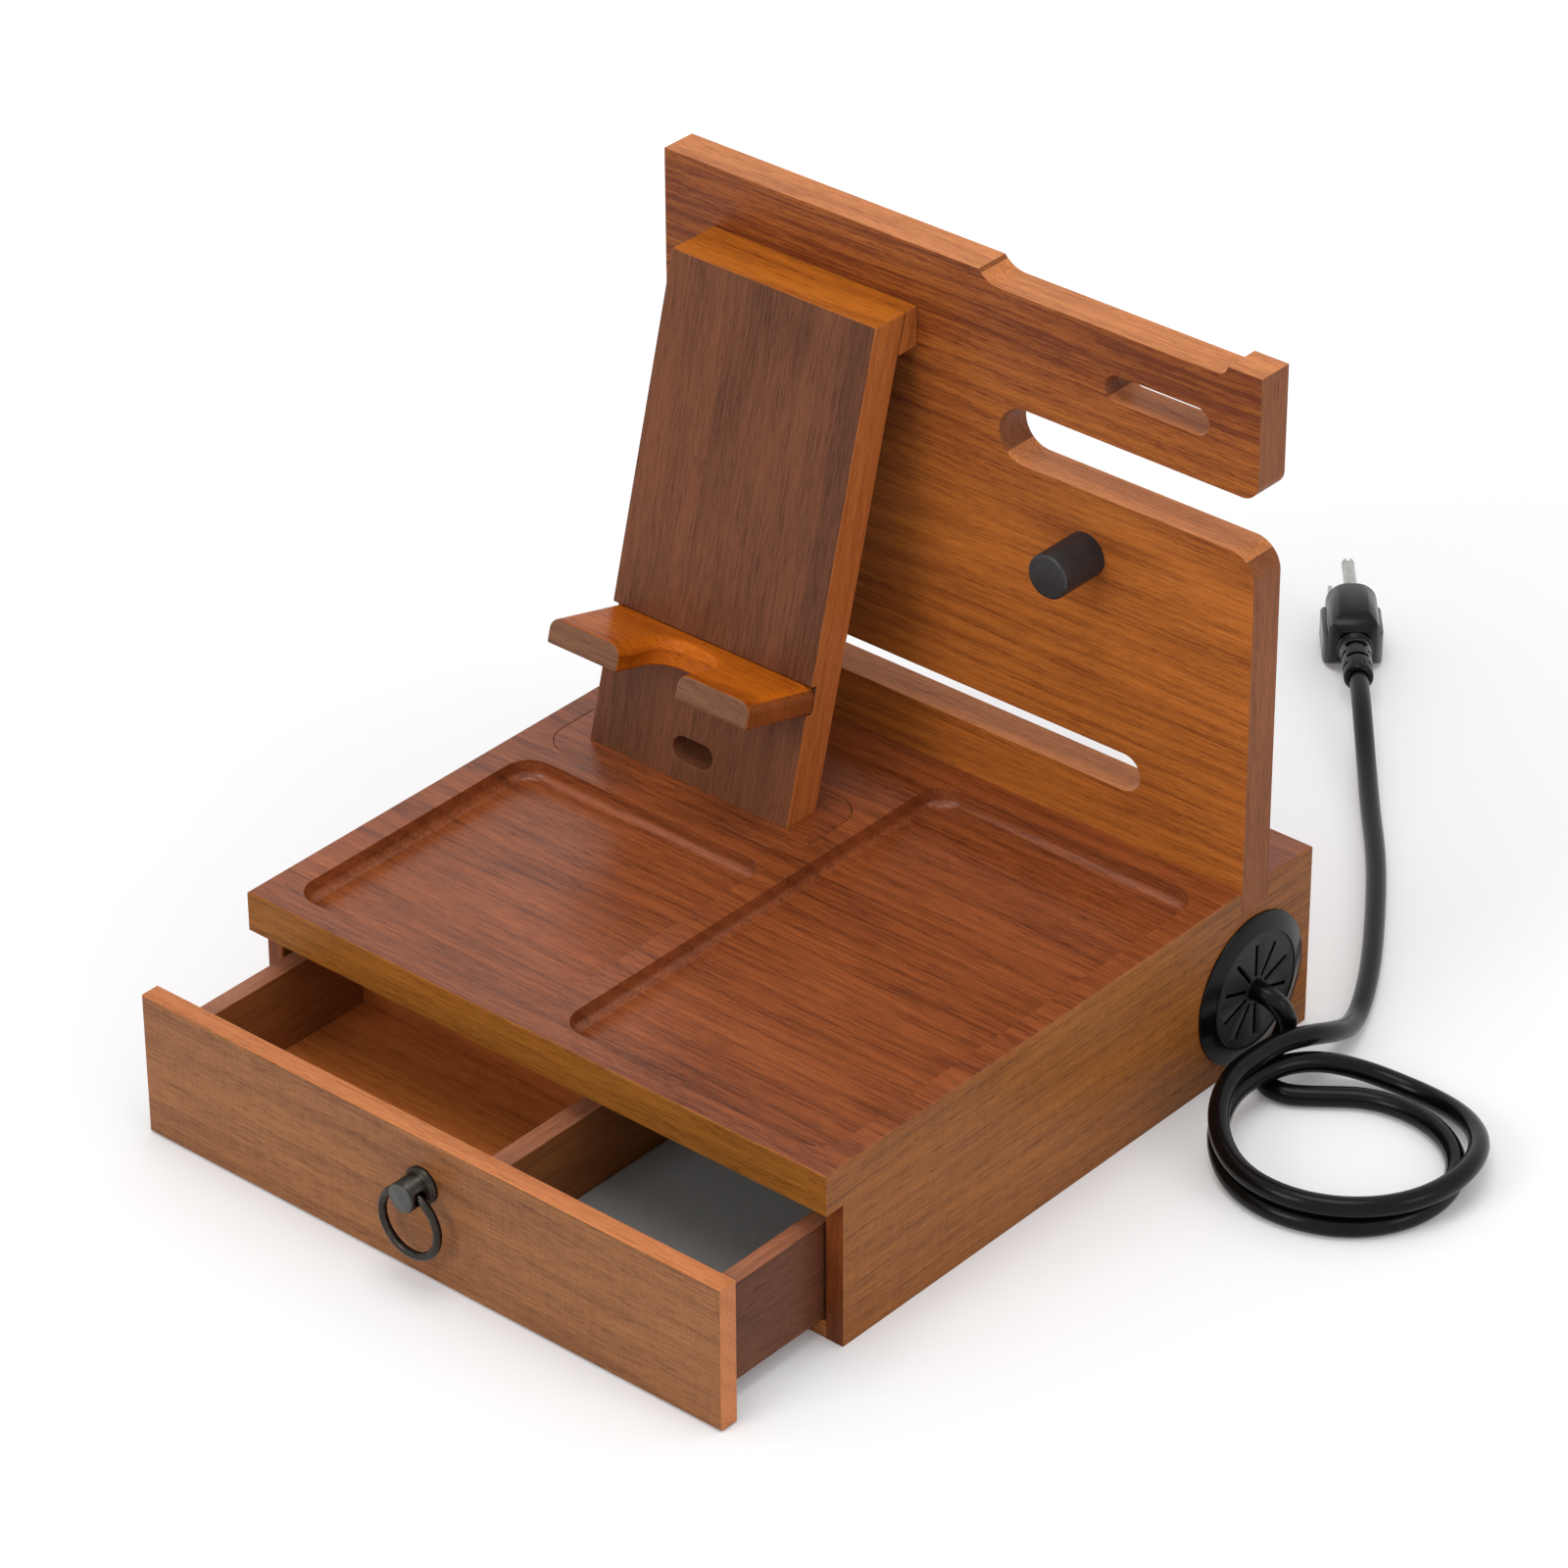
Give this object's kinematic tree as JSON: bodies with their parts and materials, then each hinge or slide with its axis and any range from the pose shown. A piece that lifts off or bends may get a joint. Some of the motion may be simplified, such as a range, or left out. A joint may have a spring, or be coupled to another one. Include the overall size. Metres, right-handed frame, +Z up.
{
  "type": "phone docking station",
  "caption": "Wooden phone dock with a ring-pull drawer, trays, a leaning phone stand with a shelf, a watch arm, a ring peg, a rear power unit and a coiled mains lead.",
  "frame": {"origin": "centre of the case's footprint, on the table that it stands on", "axes": "+X to the right seen from the front, +Y to the back board, +Z up"},
  "size_m": [0.356, 0.5422, 0.2615],
  "materials": {
    "wood": "satin varnished dark reddish-brown hardwood",
    "black_lacquer": "satin black",
    "dark_bronze": "dark oil-rubbed bronze",
    "steel": "bright steel",
    "nickel": "bright nickel plate",
    "felt": "dark grey felt",
    "rubber": "smooth black rubber",
    "black_plastic": "fine-grained black plastic",
    "grey_plastic": "dark grey plastic"
  },
  "bodies": {
    "case": {"top_board": "wood", "left_side": "wood", "right_side": "wood", "bottom_board": "wood", "rear_panel": "wood", "partition": "wood", "back_board": "wood", "stand_plate": "wood", "phone_stand": "wood", "stand_bracket": "wood", "phone_shelf": "wood", "ring_peg": "black_lacquer", "back_board_screws": "steel", "stand_screws": "steel", "faceplate_screws": "steel", "grommet_ring": "black_plastic", "grommet_membrane": "rubber", "faceplate": "grey_plastic", "power_housing": "black_plastic", "outlet_left": "black_plastic", "outlet_right": "black_plastic", "usb_c_frame": "black_plastic", "usb_a_frame": "black_plastic", "usb_c_shell": "nickel", "usb_a_shell": "nickel", "usb_tongues": "black_plastic", "housing_relief": "rubber", "inner_lead": "rubber", "cord_lead": "rubber", "cord_coil": "rubber", "cord_tail": "rubber", "plug_relief": "rubber", "plug_body": "rubber", "plug_blades": "nickel", "plug_ground_pin": "nickel"},
    "drawer": {"drawer_front": "wood", "drawer_left_side": "wood", "drawer_right_side": "wood", "drawer_back": "wood", "drawer_floor": "wood", "drawer_divider": "wood", "drawer_cross_wall": "wood", "felt_mat": "felt", "pull_boss": "dark_bronze", "pull_screw": "steel"},
    "pull_ring": {"pull_ring": "dark_bronze"}
  },
  "joints": [
    {"name": "drawer_slide", "type": "slide", "parent": "case", "child": "drawer", "axis": [0, -1, 0], "range_m": [-0.05, 0.07]},
    {"name": "pull_ring_swing", "type": "hinge", "parent": "drawer", "child": "pull_ring", "pos_m": [0, -0.1808, 0.0364], "axis": [-1, 0, 0], "range_deg": [-8, 188]}
  ]
}
